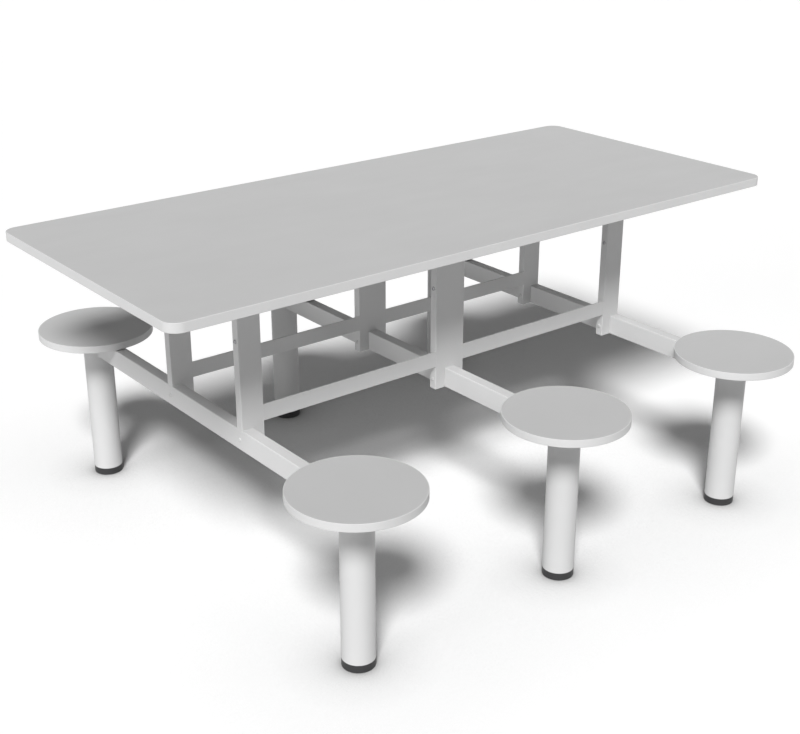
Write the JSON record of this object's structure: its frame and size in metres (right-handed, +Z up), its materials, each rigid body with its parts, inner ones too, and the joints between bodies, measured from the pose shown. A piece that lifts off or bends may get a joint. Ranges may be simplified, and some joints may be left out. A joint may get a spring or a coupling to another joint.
{
  "type": "canteen table with attached swivel seats",
  "caption": "Rectangular laminate canteen table on a steel frame, with round swivel seats carried on tubular pedestals along both long sides.",
  "frame": {"origin": "on the floor at the middle of the table", "axes": "+X along the table, +Y towards the back row of seats, +Z up; the seats' spindles are parallel to Z"},
  "size_m": [1.8, 1.472, 0.798],
  "materials": {
    "laminate": "smooth mid-grey laminate on board",
    "edging": "satin light grey edge band",
    "frame_paint": "matt light grey powder coat",
    "foot_plastic": "black moulded plastic",
    "nylon": "natural moulded nylon",
    "zinc_steel": "bright zinc plate"
  },
  "bodies": {
    "table_frame": {"table_top": "laminate", "top_edge_band": "edging", "crossbeam_left": "frame_paint", "bearer_left": "frame_paint", "upright_left_front": "frame_paint", "rail_left_front": "frame_paint", "upright_left_back": "frame_paint", "rail_left_back": "frame_paint", "crossbeam_middle": "frame_paint", "bearer_middle": "frame_paint", "upright_middle_front": "frame_paint", "upright_middle_back": "frame_paint", "crossbeam_right": "frame_paint", "bearer_right": "frame_paint", "upright_right_front": "frame_paint", "rail_right_front": "frame_paint", "upright_right_back": "frame_paint", "rail_right_back": "frame_paint", "frame_bolts": "zinc_steel", "end_sleeve_nuts": "zinc_steel", "middle_sleeve_nuts": "zinc_steel", "top_screws": "zinc_steel", "pedestal_left_front": "frame_paint", "foot_left_front": "foot_plastic", "bearing_insert_left_front": "nylon", "pedestal_left_back": "frame_paint", "foot_left_back": "foot_plastic", "bearing_insert_left_back": "nylon", "pedestal_middle_front": "frame_paint", "foot_middle_front": "foot_plastic", "bearing_insert_middle_front": "nylon", "pedestal_middle_back": "frame_paint", "foot_middle_back": "foot_plastic", "bearing_insert_middle_back": "nylon", "pedestal_right_front": "frame_paint", "foot_right_front": "foot_plastic", "bearing_insert_right_front": "nylon", "pedestal_right_back": "frame_paint", "foot_right_back": "foot_plastic", "bearing_insert_right_back": "nylon"},
    "seat_left_front": {"seat_board_left_front": "laminate", "seat_edge_band_left_front": "edging", "seat_spindle_left_front": "zinc_steel"},
    "seat_left_back": {"seat_board_left_back": "laminate", "seat_edge_band_left_back": "edging", "seat_spindle_left_back": "zinc_steel"},
    "seat_middle_front": {"seat_board_middle_front": "laminate", "seat_edge_band_middle_front": "edging", "seat_spindle_middle_front": "zinc_steel"},
    "seat_middle_back": {"seat_board_middle_back": "laminate", "seat_edge_band_middle_back": "edging", "seat_spindle_middle_back": "zinc_steel"},
    "seat_right_front": {"seat_board_right_front": "laminate", "seat_edge_band_right_front": "edging", "seat_spindle_right_front": "zinc_steel"},
    "seat_right_back": {"seat_board_right_back": "laminate", "seat_edge_band_right_back": "edging", "seat_spindle_right_back": "zinc_steel"}
  },
  "joints": [
    {"name": "swivel_left_front", "type": "hinge", "parent": "table_frame", "child": "seat_left_front", "pos_m": [-0.6, -0.586, 0.405], "axis": [0, 0, 1], "continuous": true},
    {"name": "swivel_left_back", "type": "hinge", "parent": "table_frame", "child": "seat_left_back", "pos_m": [-0.6, 0.586, 0.405], "axis": [0, 0, 1], "continuous": true},
    {"name": "swivel_middle_front", "type": "hinge", "parent": "table_frame", "child": "seat_middle_front", "pos_m": [0, -0.586, 0.405], "axis": [0, 0, 1], "continuous": true},
    {"name": "swivel_middle_back", "type": "hinge", "parent": "table_frame", "child": "seat_middle_back", "pos_m": [0, 0.586, 0.405], "axis": [0, 0, 1], "continuous": true},
    {"name": "swivel_right_front", "type": "hinge", "parent": "table_frame", "child": "seat_right_front", "pos_m": [0.6, -0.586, 0.405], "axis": [0, 0, 1], "continuous": true},
    {"name": "swivel_right_back", "type": "hinge", "parent": "table_frame", "child": "seat_right_back", "pos_m": [0.6, 0.586, 0.405], "axis": [0, 0, 1], "continuous": true}
  ]
}
